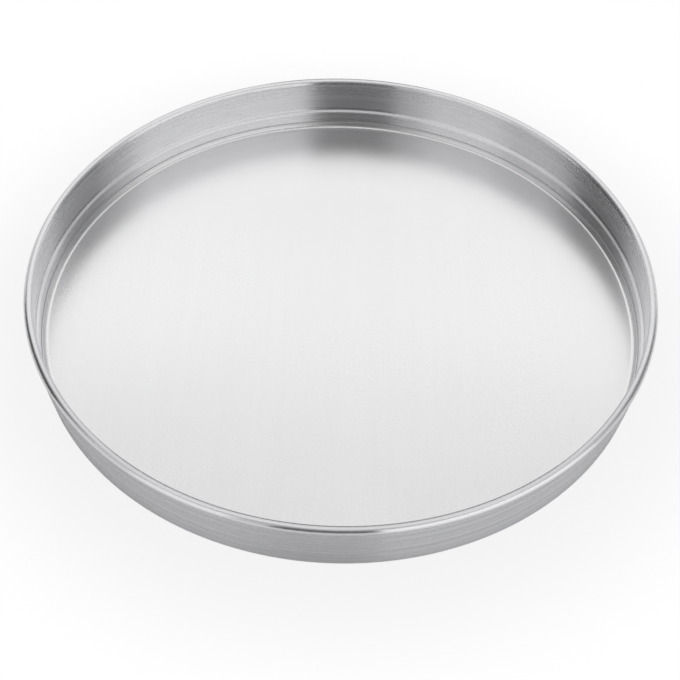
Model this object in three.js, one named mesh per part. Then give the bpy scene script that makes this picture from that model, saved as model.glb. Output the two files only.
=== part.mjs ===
// Round cake pan of bare aluminium: a spun side wall with a rolled rim and a stacking shoulder, a loose base that
// lifts out through the top, and the steel wire that the rim is rolled round.
// Millimetres, +Z up. The origin is on the pan's axis, on the surface that the pan stands on.
import * as THREE from "three";

// Driving dimensions of the side wall
const RIM_DIAMETER = 350; // outside the rolled rim
const HEIGHT = 35.7; // standing surface to the top of the rim
const WALL_SHEET = 0.8; // sheet thickness of the side wall
const ROLL_DIAMETER = 5.0; // round section of the rolled rim
const ROLL_OVERHANG = 0.8; // how far the roll stands in over the upper wall
const ROLL_TURN = 250; // degrees that the sheet is rolled through, out and down
const NECK_RISE = 2.2; // height of the bend from the upper wall into the roll
const NECK_SHARE = 0.5; // the neck's lower bend as a share of its two radii
const STACK_CLEARANCE = 0.3; // between the lower wall and the rim of the pan that it nests in
const SHOULDER_TOP = 14.5; // height of the crease where the shoulder meets the upper wall
const SHOULDER_RISE = 3.4; // height of the stacking shoulder
const SHOULDER_SHARE = 0.38; // the shoulder's lower bend as a share of its two radii
const FOOT_RADIUS = 2.5; // outside radius of the corner between the wall and the seat lip
const SEAT_WIDTH = 8.0; // how far the seat lip reaches in from the lower wall

// Driving dimensions of the loose base and the rim wire
const BASE_SHEET = 0.8; // sheet thickness of the base
const BASE_EDGE_RADIUS = 3.0; // inside radius of the base's turned-up edge
const BASE_EDGE_CLEARANCE = 0.15; // between the base's edge and the lower wall
const SEAT_CLEARANCE = 0.1; // between the base and the seat lip
const WIRE_CLEARANCE = 0.45; // between the wire and the inside of the roll

// Fineness of the facets
const TURN_STEPS = 72; // round the pan
const ARC_STEP = 24; // degrees of a bend for each facet
const WIRE_SIDES = 8;
const ROUNDING = 1e-6;

// Radii and heights that follow from them
const rollRadius = ROLL_DIAMETER / 2;
const rollCentre = new THREE.Vector2(RIM_DIAMETER / 2 - rollRadius, HEIGHT - rollRadius);
const mouthRadius = rollCentre.x - rollRadius;
const upperWallInside = mouthRadius + ROLL_OVERHANG;
const lowerWallOutside = mouthRadius - STACK_CLEARANCE;
const lowerWallInside = lowerWallOutside - WALL_SHEET;

// Adds an S-bend that leaves the path upright again, moved sideways and up by the given amounts. The lower of its
// two bends takes the given share of their radii.
function jog(path, sideways, rise, share) {
  const { x, y } = path.currentPoint;
  const side = Math.sign(sideways);
  const angle = 2 * Math.atan(Math.abs(sideways) / rise);
  const radii = rise / Math.sin(angle);
  const lower = radii * share;
  const upper = radii - lower;
  const start = side > 0 ? Math.PI : 0;
  const end = start + Math.PI;
  path.absarc(x + side * lower, y, lower, start, start - side * angle, side > 0);
  path.absarc(x + sideways - side * upper, y + rise, upper, end - side * angle, end, side < 0);
}

// The points of a path with the unit normals to its left, one facet for each straight run and several for a bend.
// A bend starts where the last run ends, so a run shorter than ROUNDING is only the rounding between the two.
function stations(path) {
  const found = [];
  const runs = path.curves.filter((curve) => curve.getLength() > ROUNDING);
  runs.forEach((curve, index) => {
    const turn = curve.isEllipseCurve ? THREE.MathUtils.radToDeg(curve.getLength() / curve.xRadius) : 0;
    const steps = Math.max(1, Math.ceil(turn / ARC_STEP));
    const last = index === runs.length - 1 ? steps : steps - 1;
    for (let i = 0; i <= last; i += 1) {
      const tangent = curve.getTangent(i / steps);
      found.push({ point: curve.getPoint(i / steps), normal: new THREE.Vector2(-tangent.y, tangent.x) });
    }
  });
  return found;
}

// The section of a sheet that follows a path at half its thickness: out along its right side, back along its left.
function sheetSection(path, thickness) {
  const along = stations(path);
  const offset = (distance) => ({ point, normal }) => point.clone().addScaledVector(normal, distance);
  const right = along.map(offset(-thickness / 2));
  const left = along.map(offset(thickness / 2)).reverse();
  return [...right, ...left];
}

// Turns a section round the pan's axis, which a lathe takes as its Y axis.
function turned(section) {
  return new THREE.LatheGeometry(section, TURN_STEPS).rotateX(Math.PI / 2);
}

function sideWallGeometry() {
  const half = WALL_SHEET / 2;
  const footBend = FOOT_RADIUS - half;
  const lowerWall = lowerWallInside + half;
  const upperWall = upperWallInside + half;
  const roll = rollRadius - half;
  const path = new THREE.Path();
  path.moveTo(lowerWallInside - SEAT_WIDTH, half);
  path.lineTo(lowerWall - footBend, half);
  path.absarc(lowerWall - footBend, half + footBend, footBend, -Math.PI / 2, 0, false);
  path.lineTo(lowerWall, SHOULDER_TOP - SHOULDER_RISE);
  jog(path, upperWall - lowerWall, SHOULDER_RISE, SHOULDER_SHARE);
  path.lineTo(upperWall, rollCentre.y - NECK_RISE);
  jog(path, -ROLL_OVERHANG, NECK_RISE, NECK_SHARE);
  const rollEnd = Math.PI - THREE.MathUtils.degToRad(ROLL_TURN);
  path.absarc(rollCentre.x, rollCentre.y, roll, Math.PI, rollEnd, true);
  const section = sheetSection(path, WALL_SHEET);
  return turned([...section, section[0]]);
}

function looseBaseGeometry() {
  const half = BASE_SHEET / 2;
  const edgeBend = BASE_EDGE_RADIUS + half;
  const edge = lowerWallInside - BASE_EDGE_CLEARANCE - half;
  const level = WALL_SHEET + SEAT_CLEARANCE + half;
  const path = new THREE.Path();
  path.moveTo(0, level);
  path.lineTo(edge - edgeBend, level);
  path.absarc(edge - edgeBend, level + edgeBend, edgeBend, -Math.PI / 2, 0, false);
  return turned(sheetSection(path, BASE_SHEET));
}

function rimWireGeometry() {
  const wireRadius = rollRadius - WALL_SHEET - WIRE_CLEARANCE;
  const ring = new THREE.TorusGeometry(rollCentre.x, wireRadius, WIRE_SIDES, TURN_STEPS);
  return ring.translate(0, 0, rollCentre.y);
}

const spunAluminium = new THREE.MeshStandardMaterial({ color: 0xc9cacd, roughness: 0.28, metalness: 1 });
const satinAluminium = new THREE.MeshStandardMaterial({ color: 0xdcdddd, roughness: 0.42, metalness: 1 });
const steelWire = new THREE.MeshStandardMaterial({ color: 0x8f9296, roughness: 0.5, metalness: 1 });

function subPart(name, geometry, material) {
  const mesh = new THREE.Mesh(geometry, material);
  mesh.name = name;
  return mesh;
}

const pan = new THREE.Group();
pan.name = "cake_pan";
pan.add(
  subPart("side_wall", sideWallGeometry(), spunAluminium),
  subPart("loose_base", looseBaseGeometry(), satinAluminium),
  subPart("rim_wire", rimWireGeometry(), steelWire),
);

export default pan;
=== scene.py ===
"""Looks of a round cake pan: a spun aluminium ring with a wired rim, and a loose satin base."""

import logging
import math
from dataclasses import dataclass
from enum import Enum
from typing import Any, Mapping, Optional, Union

import bmesh
import bpy
from mathutils import Matrix, Vector


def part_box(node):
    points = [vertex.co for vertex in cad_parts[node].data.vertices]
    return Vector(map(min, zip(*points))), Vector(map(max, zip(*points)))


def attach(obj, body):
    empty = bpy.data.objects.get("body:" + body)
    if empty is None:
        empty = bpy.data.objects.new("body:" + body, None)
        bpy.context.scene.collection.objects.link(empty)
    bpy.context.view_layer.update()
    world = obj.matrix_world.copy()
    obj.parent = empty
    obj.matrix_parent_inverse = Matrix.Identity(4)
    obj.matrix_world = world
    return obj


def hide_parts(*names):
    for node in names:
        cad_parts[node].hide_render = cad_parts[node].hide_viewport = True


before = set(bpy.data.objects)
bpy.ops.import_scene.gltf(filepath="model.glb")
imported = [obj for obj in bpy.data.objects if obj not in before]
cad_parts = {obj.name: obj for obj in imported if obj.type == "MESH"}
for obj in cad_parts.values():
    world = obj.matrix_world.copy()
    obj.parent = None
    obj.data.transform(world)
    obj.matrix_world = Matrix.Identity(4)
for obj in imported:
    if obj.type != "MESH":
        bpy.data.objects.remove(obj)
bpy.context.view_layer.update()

LOG = logging.getLogger("cake_pan")
MM = 0.001

# The photograph's width and height in pixels
IMAGE_SIDE = 680

# Fineness of the meshes
TURN_STEPS = 360
BEND_STEP = 7.5
EDGE_SEGMENTS = 3
WIRE_SIDES = 16
SHARP_ANGLE = 60.0
MERGE_DISTANCE = 1e-7

# Directions of a section, in degrees above outwards
OUTWARDS = 0.0
UPWARDS = 90.0

# Constants of the shader nodes: a quarter turn, the noise's own values and the colour mix's sockets
ACROSS_THE_LINES = 0.25
NOISE_ROUGHNESS = 0.55
NOISE_MIDDLE = 0.5
MIX_FIRST_COLOUR = 6
MIX_SECOND_COLOUR = 7
MIX_COLOUR_RESULT = 2

Colour = tuple[float, float, float]
Settings = Mapping[str, Any]
Inputs = Mapping[Union[str, int], Any]
Term = Union["Value", float]


class Side(Enum):
    """The side of a section that a bend's centre is on, with the pan's axis to the left of a rising wall."""

    LEFT = -1
    RIGHT = 1


class Body(Enum):
    """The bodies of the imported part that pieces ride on."""

    RING = "ring"
    BASE = "base"


class Slot(Enum):
    """The record's material slots."""

    SPUN = "spun_aluminium"
    SATIN = "satin_aluminium"
    WIRE = "steel_wire"


class Shader:
    """A node tree that nodes are added to, all of them through one method."""

    def __init__(self, tree: bpy.types.NodeTree) -> None:
        """Takes over a tree and clears it.

        Args:
            tree: The node tree of a material or of the world.
        """
        self.tree = tree
        self.tree.nodes.clear()

    def node(
        self,
        kind: str,
        settings: Optional[Settings] = None,
        inputs: Optional[Inputs] = None,
    ) -> bpy.types.Node:
        """Adds a node.

        Args:
            kind: The node's type name.
            settings: The node's own properties, which are set first.
            inputs: Values or links by socket name or number.

        Returns:
            The new node.
        """
        made = self.tree.nodes.new(kind)
        for name, setting in (settings or {}).items():
            setattr(made, name, setting)
        for name, term in (inputs or {}).items():
            if isinstance(term, Value):
                self.tree.links.new(term.socket, made.inputs[name])
            elif isinstance(term, bpy.types.NodeSocket):
                self.tree.links.new(term, made.inputs[name])
            else:
                made.inputs[name].default_value = term
        return made

    def value(
        self,
        kind: str,
        settings: Optional[Settings] = None,
        inputs: Optional[Inputs] = None,
        output: Union[str, int] = 0,
    ) -> "Value":
        """Adds a node and wraps one of its outputs.

        Args:
            kind: The node's type name.
            settings: The node's own properties.
            inputs: Values or links by socket name or number.
            output: The output's name or number.

        Returns:
            The output as a value for expressions.
        """
        return Value(self, self.node(kind, settings, inputs).outputs[output])

    def place(self) -> "Place":
        """Adds the nodes that say where a point is.

        Returns:
            Its object coordinates and its distance from the pan's axis.
        """
        coordinates = self.node("ShaderNodeTexCoord").outputs["Object"]
        split = self.node("ShaderNodeSeparateXYZ", inputs={"Vector": coordinates})
        x, y, z = (Value(self, socket) for socket in split.outputs)
        return Place(x, y, z, (x * x + y * y) ** 0.5)

    def vector(self, x: Term, y: Term, z: Term) -> "Value":
        """Returns a vector made of three terms."""
        return self.value("ShaderNodeCombineXYZ", inputs={"X": x, "Y": y, "Z": z})

    def noise(self, place: "Value", scale: float, detail: float = 2.0) -> "Value":
        """Adds a noise texture.

        Args:
            place: The vector that it is read at.
            scale: Its scale in waves for each metre.
            detail: How many finer layers it has.

        Returns:
            The noise, around one half.
        """
        inputs = {"Vector": place, "Scale": scale, "Detail": detail, "Roughness": NOISE_ROUGHNESS}
        return self.value("ShaderNodeTexNoise", inputs=inputs)

    def ramp(self, term: "Value", start: float, end: float) -> "Value":
        """Adds a smooth step.

        Args:
            term: The value that the step is taken over.
            start: Where the step is 0.
            end: Where the step is 1.

        Returns:
            The step.
        """
        settings = {"interpolation_type": "SMOOTHSTEP"}
        inputs = {"Value": term, "From Min": start, "From Max": end}
        return self.value("ShaderNodeMapRange", settings, inputs)

    def blend(self, factor: "Value", first: Colour, second: Colour) -> "Value":
        """Mixes two colours.

        Args:
            factor: 0 for the first colour and 1 for the second.
            first: The first colour.
            second: The second colour.

        Returns:
            The mixed colour.
        """
        colours = {MIX_FIRST_COLOUR: (*first, 1.0), MIX_SECOND_COLOUR: (*second, 1.0)}
        inputs = {"Factor": factor, **colours}
        return self.value("ShaderNodeMix", {"data_type": "RGBA"}, inputs, MIX_COLOUR_RESULT)

    def bump(self, strength: float, depth: float, height: "Value") -> "Value":
        """Returns the normal of a surface with the given relief."""
        inputs = {"Strength": strength, "Distance": depth, "Height": height}
        return self.value("ShaderNodeBump", inputs=inputs)

    def metal(self, inputs: Inputs) -> bpy.types.NodeSocket:
        """Returns a bare metal's shader with the given inputs."""
        return self.node("ShaderNodeBsdfPrincipled", inputs={"Metallic": 1.0, **inputs}).outputs[0]

    def mix(
        self,
        factor: "Value",
        first: bpy.types.NodeSocket,
        second: bpy.types.NodeSocket,
    ) -> bpy.types.NodeSocket:
        """Returns a mix of two shaders, the first where the factor is 0."""
        return self.node("ShaderNodeMixShader", inputs={0: factor, 1: first, 2: second}).outputs[0]

    def surface(self, shader: bpy.types.NodeSocket) -> None:
        """Leads a shader to the material's output."""
        self.node("ShaderNodeOutputMaterial", inputs={"Surface": shader})


@dataclass(frozen=True)
class Value:
    """A shader socket that takes part in Python arithmetic."""

    shader: Shader
    socket: bpy.types.NodeSocket

    def _math(self, operation: str, first: Term, second: Term) -> "Value":
        """Returns a Math node of two terms as a value."""
        return self.shader.value("ShaderNodeMath", {"operation": operation}, {0: first, 1: second})

    def __add__(self, other: Term) -> "Value":
        """Returns self + other."""
        return self._math("ADD", self, other)

    def __radd__(self, other: Term) -> "Value":
        """Returns other + self."""
        return self._math("ADD", other, self)

    def __sub__(self, other: Term) -> "Value":
        """Returns self - other."""
        return self._math("SUBTRACT", self, other)

    def __rsub__(self, other: Term) -> "Value":
        """Returns other - self."""
        return self._math("SUBTRACT", other, self)

    def __mul__(self, other: Term) -> "Value":
        """Returns self * other."""
        return self._math("MULTIPLY", self, other)

    def __rmul__(self, other: Term) -> "Value":
        """Returns other * self."""
        return self._math("MULTIPLY", other, self)

    def __pow__(self, other: Term) -> "Value":
        """Returns self to the power of other."""
        return self._math("POWER", self, other)


@dataclass(frozen=True)
class Place:
    """Where a point of a piece is: its object coordinates and its distance from the pan's axis."""

    x: Value
    y: Value
    z: Value
    radius: Value


def new_material(name: str) -> bpy.types.Material:
    """Makes a material with a node tree.

    Args:
        name: The material's name.

    Returns:
        The material.
    """
    made = bpy.data.materials.new(name)
    made.use_nodes = True
    return made


@dataclass(frozen=True)
class SpunAluminium:
    """Aluminium sheet spun on a lathe: fine lines round the pan that spread reflections up and down.

    The shoulder and the rim are burnished smoother. The shoulder's colour is also lightened as a painted
    highlight, and the creases are darkened with painted shade.
    """

    colour: Colour = (0.85, 0.85, 0.865)
    shade: Colour = (0.735, 0.735, 0.755)
    roughness: float = 0.30
    rim_roughness: float = 0.20
    anisotropy: float = 1.0
    line_scale: float = 1400.0
    line_wander: float = 0.03 * MM
    line_tone: float = 0.3
    line_relief: float = 0.92
    band_scale: float = 420.0
    drift_scale: float = 9.0
    streak_low: float = 0.3
    streak_high: float = 0.7
    streak_roughness: float = 0.10
    drift_roughness: float = 0.06
    bump_strength: float = 0.22
    bump_depth: float = 0.4 * MM
    painted_shoulder_highlight: float = 0.6
    bend_smoothing: float = 0.85
    rim_smoothing: float = 0.6
    painted_crease_shade: float = 0.7
    fade: float = 0.8 * MM

    def material(
        self,
        rim_start: float,
        rim_end: float,
        bend_foot: float,
        bend_top: float,
        creases: tuple[float, ...],
    ) -> bpy.types.Material:
        """Makes the finish.

        Args:
            rim_start: Height where the rim's smoother polish starts.
            rim_end: Height from which it is full.
            bend_foot: Height where the burnished shoulder starts.
            bend_top: Height where it ends.
            creases: Heights of the creases, which are darkened with painted shade.

        Returns:
            The material.
        """
        made = new_material(Slot.SPUN.value)
        shader = Shader(made.node_tree)
        place = shader.place()
        drift = shader.noise(shader.vector(place.x, place.y, place.z), self.drift_scale)
        along = shader.vector(place.radius, place.z, drift * self.line_wander)
        lines = shader.noise(along, self.line_scale, detail=1.0)
        bands = shader.noise(along, self.band_scale, detail=1.0)
        rim = shader.ramp(place.z, rim_start, rim_end)
        bend = self.near(shader, place.z, bend_foot, bend_top)

        streaks_and_painted_light = lines * self.line_tone + bands * (1.0 - self.line_tone)
        # Painted highlight: the burnished shoulder's colour is made lighter
        streaks_and_painted_light = shader.ramp(streaks_and_painted_light, self.streak_low, self.streak_high) + bend * self.painted_shoulder_highlight
        # Painted shade: the creases are darkened in colour
        for height in creases:
            streaks_and_painted_light = streaks_and_painted_light - self.near(shader, place.z, height, height) * self.painted_crease_shade
        rough = self.roughness - (rim + bend) * (self.roughness - self.rim_roughness)
        rough = rough + (streaks_and_painted_light - NOISE_MIDDLE) * self.streak_roughness
        rough = rough + (drift - NOISE_MIDDLE) * self.drift_roughness

        relief = lines * self.line_relief + bands * (1.0 - self.line_relief) - NOISE_MIDDLE
        relief = relief * (1.0 - bend * self.bend_smoothing - rim * self.rim_smoothing)
        metal = shader.metal(
            {
                "Base Color": shader.blend(streaks_and_painted_light, self.shade, self.colour),
                "Roughness": rough,
                "Anisotropic": self.anisotropy,
                "Anisotropic Rotation": ACROSS_THE_LINES,
                "Normal": shader.bump(self.bump_strength, self.bump_depth, relief),
            }
        )
        shader.surface(metal)
        return made

    def near(self, shader: Shader, z: Value, foot: float, top: float) -> Value:
        """Returns 1 from one height to another, and less up to the fade's distance from them."""
        return shader.ramp(z, foot - self.fade, foot) * shader.ramp(z, top + self.fade, top)


@dataclass(frozen=True)
class SatinAluminium:
    """Rolled aluminium sheet with a satin grain, faint straight rolling lines and a cloudy bloom.

    Reflections spread a little more along the plate's radius than round it, and evenly at its middle.
    """

    colour: Colour = (0.925, 0.925, 0.93)
    shade: Colour = (0.70, 0.70, 0.71)
    roughness: float = 0.25
    anisotropy: float = 0.6
    even_within: float = 15.0 * MM
    turned_from: float = 110.0 * MM
    grain_scale: float = 1100.0
    grain_tone: float = 0.6
    grain_roughness: float = 0.10
    roll_scale: float = 260.0
    roll_stretch: float = 0.02
    roll_tone: float = 0.1
    cloud_scale: float = 14.0
    cloud_tone: float = 0.3
    cloud_roughness: float = 0.10
    tone_low: float = 0.38
    tone_high: float = 0.62
    tone_base: float = 0.73
    tone_range: float = 0.20
    edge_rise: float = 0.9 * MM
    cove_painted_shade: float = 0.6
    edge_roughness: float = 0.05
    bump_strength: float = 0.08
    bump_depth: float = 0.2 * MM

    def material(self, floor_top: float) -> bpy.types.Material:
        """Makes the finish.

        Args:
            floor_top: Height of the flat floor, above which the pressed edge is rougher and darkened with
                painted shade.

        Returns:
            The material.
        """
        made = new_material(Slot.SATIN.value)
        shader = Shader(made.node_tree)
        place = shader.place()
        point = shader.vector(place.x, place.y, place.z)
        grain = shader.noise(point, self.grain_scale)
        stretched = shader.vector(place.x, place.y * self.roll_stretch, place.z)
        rolled = shader.noise(stretched, self.roll_scale)
        cloud = shader.noise(point, self.cloud_scale, detail=3.0)
        edge = shader.ramp(place.z, floor_top, floor_top + self.edge_rise)

        marks = grain * self.grain_tone + rolled * self.roll_tone + cloud * self.cloud_tone
        tone = shader.ramp(marks, self.tone_low, self.tone_high)
        # Painted shade: the turned-up edge by the wall is darkened in colour
        tone = self.tone_base + self.tone_range * tone - edge * self.cove_painted_shade
        rough = self.roughness + edge * self.edge_roughness
        rough = rough + (cloud - NOISE_MIDDLE) * self.cloud_roughness
        rough = rough + (grain - NOISE_MIDDLE) * self.grain_roughness

        inputs = {
            "Base Color": shader.blend(tone, self.shade, self.colour),
            "Roughness": rough,
            "Normal": shader.bump(self.bump_strength, self.bump_depth, grain),
        }
        spread = {"Anisotropic": self.anisotropy, "Anisotropic Rotation": ACROSS_THE_LINES}
        outwards = shader.ramp(place.radius, self.even_within, self.turned_from)
        shader.surface(shader.mix(outwards, shader.metal(inputs), shader.metal({**inputs, **spread})))
        return made


@dataclass(frozen=True)
class DrawnSteel:
    """Bright drawn wire with faint lengthways marks."""

    colour: Colour = (0.55, 0.56, 0.58)
    shade: Colour = (0.42, 0.43, 0.45)
    roughness: float = 0.38
    mark_scale: float = 2400.0
    mark_stretch: float = 0.01
    mark_roughness: float = 0.2

    def material(self) -> bpy.types.Material:
        """Makes the finish.

        Returns:
            The material.
        """
        made = new_material(Slot.WIRE.value)
        shader = Shader(made.node_tree)
        place = shader.place()
        along = shader.vector(place.radius, place.z, place.x * self.mark_stretch)
        marks = shader.noise(along, self.mark_scale)
        metal = shader.metal(
            {
                "Base Color": shader.blend(marks, self.shade, self.colour),
                "Roughness": self.roughness + (marks - NOISE_MIDDLE) * self.mark_roughness,
            }
        )
        shader.surface(metal)
        return made


def turn_round(mesh: bmesh.types.BMesh) -> None:
    """Turns a section in the XZ plane into a closed ring round the pan's axis.

    Args:
        mesh: The section, which becomes the ring.
    """
    bmesh.ops.spin(
        mesh,
        geom=mesh.verts[:] + mesh.edges[:],
        cent=(0.0, 0.0, 0.0),
        axis=(0.0, 0.0, 1.0),
        angle=math.tau,
        steps=TURN_STEPS,
        use_merge=True,
    )
    bmesh.ops.remove_doubles(mesh, verts=mesh.verts[:], dist=MERGE_DISTANCE)
    bmesh.ops.recalc_face_normals(mesh, faces=mesh.faces[:])


class SheetProfile:
    """The upper and inner face of a bent sheet, drawn in section and then turned round the pan's axis."""

    def __init__(self, radius: float, height: float) -> None:
        """Starts the section.

        Args:
            radius: Distance of its first point from the axis.
            height: Height of its first point.
        """
        self.mesh = bmesh.new()
        self.tip = self.mesh.verts.new((radius, 0.0, height))

    def line_to(self, radius: float, height: float) -> None:
        """Adds a straight run.

        Args:
            radius: Where it ends, from the axis.
            height: Where it ends, from the ground.
        """
        made = bmesh.ops.extrude_vert_indiv(self.mesh, verts=[self.tip])
        self.tip = made["verts"][0]
        self.tip.co = (radius, 0.0, height)

    def bend(self, side: Side, radius: float, degrees: float, heading: float) -> None:
        """Adds a bend that leaves the section at a tangent.

        Args:
            side: The side of the section that the bend's centre is on.
            radius: The bend's radius.
            degrees: How far it turns.
            heading: The section's direction where it starts, in degrees above outwards.
        """
        across = math.radians(heading - 90.0 * side.value)
        reach = Vector((math.cos(across), 0.0, math.sin(across))) * radius
        made = bmesh.ops.spin(
            self.mesh,
            geom=[self.tip],
            cent=self.tip.co + reach,
            axis=(0.0, side.value, 0.0),
            angle=math.radians(degrees),
            steps=max(2, math.ceil(degrees / BEND_STEP)),
            use_duplicate=False,
        )
        self.tip = next(v for v in made["geom_last"] if isinstance(v, bmesh.types.BMVert))

    def turned(self, thickness: float, rounding: float) -> bmesh.types.BMesh:
        """Turns the section round the axis and gives it the sheet's thickness.

        Args:
            thickness: The sheet's thickness, which goes to the side that the faces point away from.
            rounding: How far the sheet's bare edges are rounded off.

        Returns:
            The closed mesh.
        """
        mesh = self.mesh
        turn_round(mesh)
        # The faces point up at the sheet's inner end, so that its thickness goes down and outwards
        inmost = min(mesh.faces, key=lambda face: face.calc_center_median().to_2d().length)
        if inmost.normal.z < 0.0:
            bmesh.ops.reverse_faces(mesh, faces=mesh.faces[:])
        bmesh.ops.solidify(mesh, geom=mesh.faces[:], thickness=thickness)
        sharp = math.radians(SHARP_ANGLE)
        bmesh.ops.bevel(
            mesh,
            geom=[edge for edge in mesh.edges if edge.is_manifold and edge.calc_face_angle() > sharp],
            offset=rounding,
            segments=EDGE_SEGMENTS,
            profile=0.5,
            affect="EDGES",
            material=-1,
        )
        return mesh


def new_object(name: str, mesh: bmesh.types.BMesh) -> bpy.types.Object:
    """Makes a finished mesh an object of the scene.

    Args:
        name: The object's name.
        mesh: The finished mesh, which is freed.

    Returns:
        The new object.
    """
    data = bpy.data.meshes.new(name)
    mesh.to_mesh(data)
    mesh.free()
    made = bpy.data.objects.new(name, data)
    bpy.context.scene.collection.objects.link(made)
    return made


def piece(node: str, mesh: bmesh.types.BMesh, body: Body) -> bpy.types.Object:
    """Makes a finished mesh the piece that stands for a CAD node.

    Args:
        node: The CAD node's name, which the piece's name starts with.
        mesh: The finished mesh, which is freed.
        body: The body that the piece rides on.

    Returns:
        The piece's object.
    """
    made = new_object(f"{node}_spun", mesh)
    made.data.shade_smooth()
    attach(made, body.value)
    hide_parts(node)
    LOG.info("%s: %d faces", made.name, len(made.data.polygons))
    return made


@dataclass
class SideWall:
    """The spun ring: seat lip, foot, lower wall, stacking shoulder, upper wall, neck and rolled rim."""

    rim_radius: float
    height: float
    sheet: float = 0.8 * MM
    roll_radius: float = 2.5 * MM
    roll_overhang: float = 0.8 * MM
    roll_turn: float = 250.0
    neck_rise: float = 1.4 * MM
    stack_clearance: float = 0.3 * MM
    shoulder_top: float = 13.2 * MM
    shoulder_slope: float = 61.0
    shoulder_crease: float = 0.5 * MM
    shoulder_brow: float = 0.9 * MM
    crease_shade_rise: float = 0.5 * MM
    foot_radius: float = 2.5 * MM
    seat_width: float = 8.0 * MM
    edge_rounding: float = 0.2 * MM

    @property
    def roll_centre(self) -> Vector:
        """The middle of the rolled rim's section."""
        return Vector((self.rim_radius - self.roll_radius, 0.0, self.height - self.roll_radius))

    @property
    def mouth_radius(self) -> float:
        """Inside radius at the rolled rim."""
        return self.rim_radius - 2.0 * self.roll_radius

    @property
    def upper_inside(self) -> float:
        """Inside radius of the upper wall."""
        return self.mouth_radius + self.roll_overhang

    @property
    def lower_inside(self) -> float:
        """Inside radius of the lower wall, which nests in the rim of a pan below."""
        return self.mouth_radius - self.stack_clearance - self.sheet

    @property
    def neck_foot(self) -> float:
        """Height where the upper wall bends in to the roll."""
        return self.roll_centre.z - self.neck_rise

    @property
    def shoulder_foot(self) -> float:
        """Height where the lower wall bends out to the shoulder.

        Returns:
            The shoulder's top less the height of its two bends and of the cone between them.
        """
        slope = math.radians(self.shoulder_slope)
        bends = self.shoulder_brow + self.shoulder_crease
        straight = self.upper_inside - self.lower_inside - bends * (1.0 - math.cos(slope))
        return self.shoulder_top - bends * math.sin(slope) - straight / math.tan(slope)

    def shoulder(self, profile: SheetProfile) -> None:
        """Adds the lower wall and the stacking shoulder: a brow, a conical ledge and a crease.

        Args:
            profile: The section so far, at the top of the foot.
        """
        slope = math.radians(self.shoulder_slope)
        fall = self.shoulder_crease * math.sin(slope)
        in_by = self.shoulder_crease * (1.0 - math.cos(slope))
        profile.line_to(self.lower_inside, self.shoulder_foot)
        profile.bend(Side.RIGHT, self.shoulder_brow, self.shoulder_slope, UPWARDS)
        profile.line_to(self.upper_inside - in_by, self.shoulder_top - fall)
        profile.bend(Side.LEFT, self.shoulder_crease, self.shoulder_slope, UPWARDS - self.shoulder_slope)

    def neck(self, profile: SheetProfile) -> None:
        """Adds the upper wall and the S-bend that brings it in to the roll, upright again.

        Args:
            profile: The section so far, at the top of the shoulder.
        """
        degrees = math.degrees(2.0 * math.atan(self.roll_overhang / self.neck_rise))
        middle = self.neck_rise / math.sin(math.radians(degrees)) / 2.0
        profile.line_to(self.upper_inside, self.neck_foot)
        profile.bend(Side.LEFT, middle - self.sheet / 2.0, degrees, UPWARDS)
        profile.bend(Side.RIGHT, middle + self.sheet / 2.0, degrees, UPWARDS + degrees)

    def build(self) -> bpy.types.Object:
        """Builds the ring.

        Returns:
            The ring's object.
        """
        foot = self.foot_radius - self.sheet
        profile = SheetProfile(self.lower_inside - self.seat_width, self.sheet)
        profile.line_to(self.lower_inside - foot, self.sheet)
        profile.bend(Side.LEFT, foot, 90.0, OUTWARDS)
        self.shoulder(profile)
        self.neck(profile)
        profile.bend(Side.RIGHT, self.roll_radius, self.roll_turn, UPWARDS)
        mesh = profile.turned(self.sheet, self.edge_rounding)
        return piece("side_wall", mesh, Body.RING)

    def dress(self, made: bpy.types.Object, finish: SpunAluminium) -> None:
        """Gives the ring its finish.

        Args:
            made: The ring's object.
            finish: The finish.
        """
        material = finish.material(
            rim_start=self.roll_centre.z - self.roll_radius,
            rim_end=self.roll_centre.z,
            bend_foot=self.shoulder_foot,
            bend_top=self.shoulder_top,
            # The neck's crease and a line just above the shoulder get painted shade
            creases=(self.neck_foot, self.shoulder_top + self.crease_shade_rise),
        )
        made.data.materials.append(material)


@dataclass
class LooseBase:
    """The round floor plate with a low turned-up edge."""

    wall_inside: float
    underside: float
    wall_gap: float = 0.05 * MM
    sheet: float = 0.8 * MM
    edge_radius: float = 3.0 * MM
    edge_rounding: float = 0.25 * MM

    @property
    def floor_top(self) -> float:
        """Height of the flat floor."""
        return self.underside + self.sheet

    def build(self) -> bpy.types.Object:
        """Builds the plate.

        Returns:
            The plate's object.
        """
        edge_inside = self.wall_inside - self.wall_gap - self.sheet
        profile = SheetProfile(0.0, self.floor_top)
        profile.line_to(edge_inside - self.edge_radius, self.floor_top)
        profile.bend(Side.LEFT, self.edge_radius, 90.0, OUTWARDS)
        mesh = profile.turned(self.sheet, self.edge_rounding)
        return piece("loose_base", mesh, Body.BASE)

    def dress(self, made: bpy.types.Object, finish: SatinAluminium) -> None:
        """Gives the plate its finish."""
        made.data.materials.append(finish.material(self.floor_top))


@dataclass
class RimWire:
    """The wire that the rim is rolled round."""

    centre: Vector
    radius: float

    def build(self) -> bpy.types.Object:
        """Builds the wire.

        Returns:
            The wire's object.
        """
        mesh = bmesh.new()
        upright = Matrix.Translation(self.centre) @ Matrix.Rotation(math.radians(90.0), 4, "X")
        bmesh.ops.create_circle(mesh, segments=WIRE_SIDES, radius=self.radius, matrix=upright)
        turn_round(mesh)
        return piece("rim_wire", mesh, Body.RING)

    def dress(self, made: bpy.types.Object, finish: DrawnSteel) -> None:
        """Gives the wire its finish."""
        made.data.materials.append(finish.material())


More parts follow.
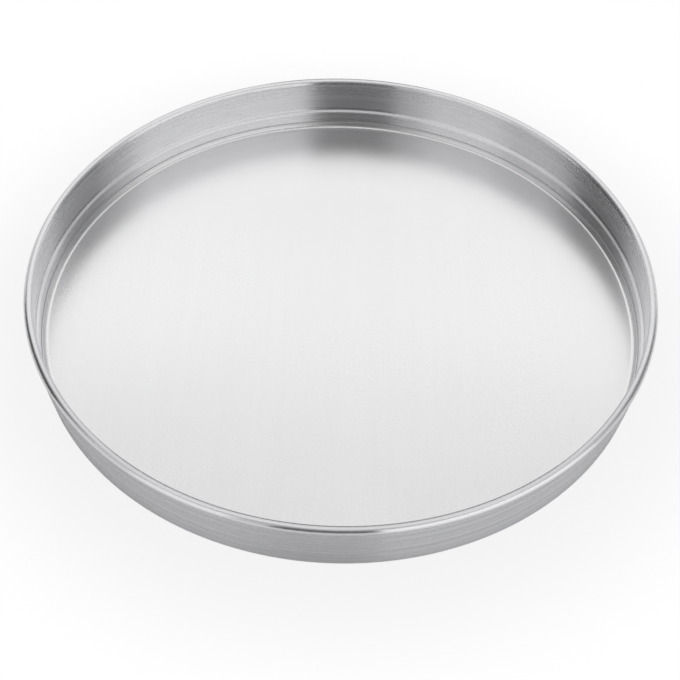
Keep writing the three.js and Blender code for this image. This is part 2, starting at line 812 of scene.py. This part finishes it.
@dataclass(frozen=True)
class Softbox:
    """A rectangular soft lamp that faces the pan's axis, upright or turned down towards the pan.

    Its bearing is in degrees from the camera's side, positive to the right. Its level is its radiance.
    """

    name: str
    bearing: float
    width: float
    level: float
    length: float = 1.6
    reach: float = 1.4
    height: float = 0.85
    tilt: float = 0.0

    def hang(self) -> bpy.types.Object:
        """Hangs the lamp.

        Returns:
            The lamp's object.
        """
        lamp = bpy.data.lights.new(self.name, "AREA")
        lamp.shape = "RECTANGLE"
        lamp.size = self.width
        lamp.size_y = self.length
        lamp.energy = self.level * math.pi * self.width * self.length
        made = bpy.data.objects.new(self.name, lamp)
        bpy.context.scene.collection.objects.link(made)
        turn = math.radians(self.bearing)
        down = math.radians(self.tilt)
        away = Vector((math.sin(turn), -math.cos(turn), 0.0))
        rise = Vector((0.0, 0.0, 1.0))
        facing = -away * math.cos(down) - rise * math.sin(down)
        made.location = away * self.reach + rise * self.height
        made.rotation_mode = "QUATERNION"
        made.rotation_quaternion = facing.to_track_quat("-Z", "Y")
        return made


@dataclass(frozen=True)
class Studio:
    """A white floor that runs out of view, a grey room that is lighter overhead, and soft lamps."""

    backdrop_colour: Colour = (0.8, 0.8, 0.8)
    room_level: float = 0.09
    sky_level: float = 0.68
    sky_from: float = 0.62
    floor_colour: Colour = (0.80, 0.80, 0.805)
    floor_radius: float = 4.0
    floor_steps: int = 96
    floor_gap: float = 0.05 * MM
    shade_kept: float = 0.16
    white_from: float = 0.18
    white_to: float = 0.26
    mirrored_near: float = 0.1
    mirrored_from: float = 0.19
    mirrored_to: float = 0.36
    boxes: tuple[Softbox, ...] = (
        Softbox("strip_left", bearing=-24.1, width=0.289, level=0.50),
        Softbox("front_left", bearing=-45.6, width=0.782, level=0.88),
        Softbox("side_left", bearing=-76.8, width=0.777, level=0.58),
        Softbox("front_right", bearing=47.5, width=1.924, level=1.03),
        Softbox("side_right", bearing=89.5, width=0.369, level=0.58),
        Softbox("rear_right", bearing=117.0, width=1.019, level=0.17),
        Softbox("back_left", -148.0, 1.5, 0.55, length=0.75, reach=1.6, height=0.40, tilt=14.0),
        Softbox("back_right", 148.0, 1.5, 0.55, length=0.75, reach=1.6, height=0.40, tilt=14.0),
        Softbox("overhead_low", 180.0, 2.2, 0.87, length=0.838, reach=1.369, height=1.082, tilt=62.0),
        Softbox("overhead_high", 180.0, 2.2, 0.45, length=1.402, reach=0.380, height=1.607, tilt=62.0),
    )

    def paper(self) -> bpy.types.Material:
        """Makes the floor's white paper.

        It keeps the pan's shadow, and away from the pan it is white to the eye and in the metal.

        Returns:
            The material.
        """
        made = new_material("white_paper")
        shader = Shader(made.node_tree)
        radius = shader.place().radius
        white = shader.ramp(radius, self.white_from, self.white_to)
        far = shader.ramp(radius, self.mirrored_from, self.mirrored_to)
        path = shader.node("ShaderNodeLightPath")
        eye = Value(shader, path.outputs["Is Camera Ray"])
        gloss = Value(shader, path.outputs["Is Glossy Ray"])
        seen = eye * (1.0 - self.shade_kept * (1.0 - white))
        seen = seen + gloss * (self.mirrored_near + far * (1.0 - self.mirrored_near))
        matt = shader.node("ShaderNodeBsdfDiffuse", inputs={"Color": (*self.floor_colour, 1.0)})
        glow = shader.node("ShaderNodeEmission", inputs={"Strength": 1.0})
        shader.surface(shader.mix(seen, matt.outputs[0], glow.outputs[0]))
        return made

    def floor(self) -> bpy.types.Object:
        """Lays the floor just under the pan.

        Returns:
            The floor's object.
        """
        mesh = bmesh.new()
        level = Matrix.Translation((0.0, 0.0, -self.floor_gap))
        bmesh.ops.create_circle(
            mesh,
            cap_ends=True,
            segments=self.floor_steps,
            radius=self.floor_radius,
            matrix=level,
        )
        made = new_object("studio_floor", mesh)
        made.data.materials.append(self.paper())
        return made

    def room(self) -> None:
        """Sets the room's grey light, seen by the camera as a pale backdrop."""
        world = bpy.data.worlds.new("room")
        world.use_nodes = True
        shader = Shader(world.node_tree)
        direction = shader.node("ShaderNodeTexCoord").outputs["Generated"]
        up = shader.value("ShaderNodeSeparateXYZ", inputs={"Vector": direction}, output="Z")
        rise = shader.ramp(up, self.sky_from, 1.0)
        eye = shader.value("ShaderNodeLightPath", output="Is Camera Ray")
        dim = self.room_level + rise * (self.sky_level - self.room_level)
        inputs = {"Color": (*self.backdrop_colour, 1.0), "Strength": dim + eye * (1.0 - dim)}
        light = shader.node("ShaderNodeBackground", inputs=inputs)
        shader.node("ShaderNodeOutputWorld", inputs={"Surface": light.outputs[0]})
        bpy.context.scene.world = world

    def build(self) -> None:
        """Builds the room, the floor and the lamps."""
        self.room()
        self.floor()
        for box in self.boxes:
            box.hang()


@dataclass(frozen=True)
class PhotoCamera:
    """The photograph's camera, as fitted to the pan's circles."""

    focal_pixels: float = 1560.3
    sensor_width: float = 36.0
    clip_start: float = 0.01
    elevation: float = 47.59
    roll: float = 1.589
    distance: float = 0.8367
    aim_x: float = 0.0001
    aim_y: float = -0.0476

    def build(self, aim_height: float) -> bpy.types.Object:
        """Makes the camera and makes it the scene's own.

        Args:
            aim_height: Height of the plane that the camera is aimed in.

        Returns:
            The camera's object.
        """
        lens = bpy.data.cameras.new("photo_camera")
        lens.sensor_width = self.sensor_width
        lens.lens = self.focal_pixels / IMAGE_SIDE * self.sensor_width
        lens.clip_start = self.clip_start
        made = bpy.data.objects.new("photo_camera", lens)
        bpy.context.scene.collection.objects.link(made)
        lift = math.radians(self.elevation)
        back = Vector((0.0, -math.cos(lift), math.sin(lift)))
        aim = Vector((self.aim_x, self.aim_y, aim_height))
        tilt = Matrix.Rotation(math.radians(90.0 - self.elevation), 4, "X")
        turn = Matrix.Rotation(math.radians(self.roll), 4, "Z")
        made.matrix_world = Matrix.Translation(aim + back * self.distance) @ tilt @ turn
        bpy.context.scene.camera = made
        return made


def main() -> None:
    """Builds the pan and its studio."""
    logging.basicConfig(level=logging.INFO, format="%(name)s: %(message)s")
    _, wall_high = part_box("side_wall")
    base_low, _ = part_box("loose_base")
    wire_low, wire_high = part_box("rim_wire")
    wall = SideWall(rim_radius=wall_high.x, height=wall_high.z)
    wall.dress(wall.build(), SpunAluminium())
    base = LooseBase(wall_inside=wall.lower_inside, underside=base_low.z)
    base.dress(base.build(), SatinAluminium())
    wire = RimWire(centre=wall.roll_centre, radius=(wire_high.z - wire_low.z) / 2.0)
    wire.dress(wire.build(), DrawnSteel())
    Studio().build()
    PhotoCamera().build(wall.roll_centre.z)
    bpy.context.scene.view_settings.view_transform = "Standard"


if __name__ == "__main__":
    main()
